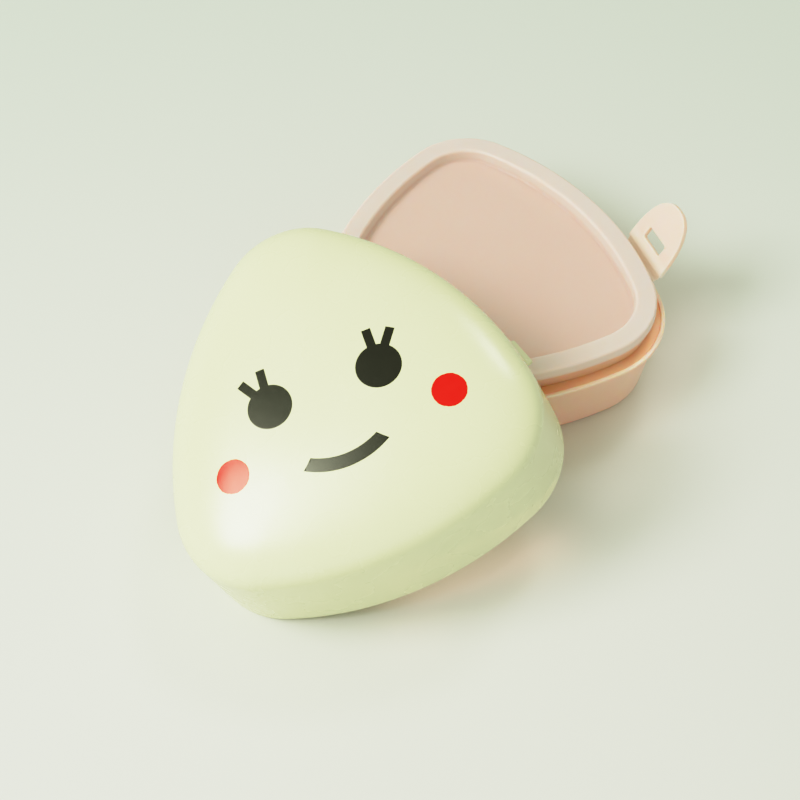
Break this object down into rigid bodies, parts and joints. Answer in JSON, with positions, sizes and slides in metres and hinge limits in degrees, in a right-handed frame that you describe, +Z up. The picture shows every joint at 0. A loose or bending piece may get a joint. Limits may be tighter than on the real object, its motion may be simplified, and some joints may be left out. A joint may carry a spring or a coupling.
{
  "type": "rice ball shaped lunch case",
  "caption": "Rounded triangular plastic lunch case, open: tray with clip-on inner lid and hinged slotted latches, and its domed cover leaning on it.",
  "frame": {"origin": "on the table, under the middle of the whole open case's bounding box", "axes": "+Z up, +Y from the tray's broad side to its pointed end, +X to the side of the raised latch"},
  "size_m": [0.1682, 0.1784, 0.071],
  "materials": {
    "peach_plastic": "satin moulded polypropylene, slightly see-through",
    "milky_plastic": "satin milky polyethylene that lets the peach tray show through",
    "cream_plastic": "smooth satin-gloss moulded plastic with a printed face",
    "latch_plastic": "satin moulded polypropylene",
    "black_print": "thin glossy printing ink",
    "red_print": "thin glossy printing ink"
  },
  "bodies": {
    "case": {"tray": "peach_plastic", "inner_lid": "milky_plastic", "cover": "cream_plastic"},
    "right_latch": {"latch_right": "latch_plastic"},
    "left_latch": {"latch_left": "latch_plastic"}
  },
  "joints": [
    {"name": "right_latch_hinge", "type": "hinge", "parent": "case", "child": "right_latch", "pos_m": [0.07006, 0.0278, 0.02645], "axis": [0.2823, -0.9593, 0], "range_deg": [-110, 34]},
    {"name": "left_latch_hinge", "type": "hinge", "parent": "case", "child": "left_latch", "pos_m": [-0.03906, 0.0278, 0.02645], "axis": [0.2823, 0.9593, 0], "range_deg": [-8, 52]}
  ]
}
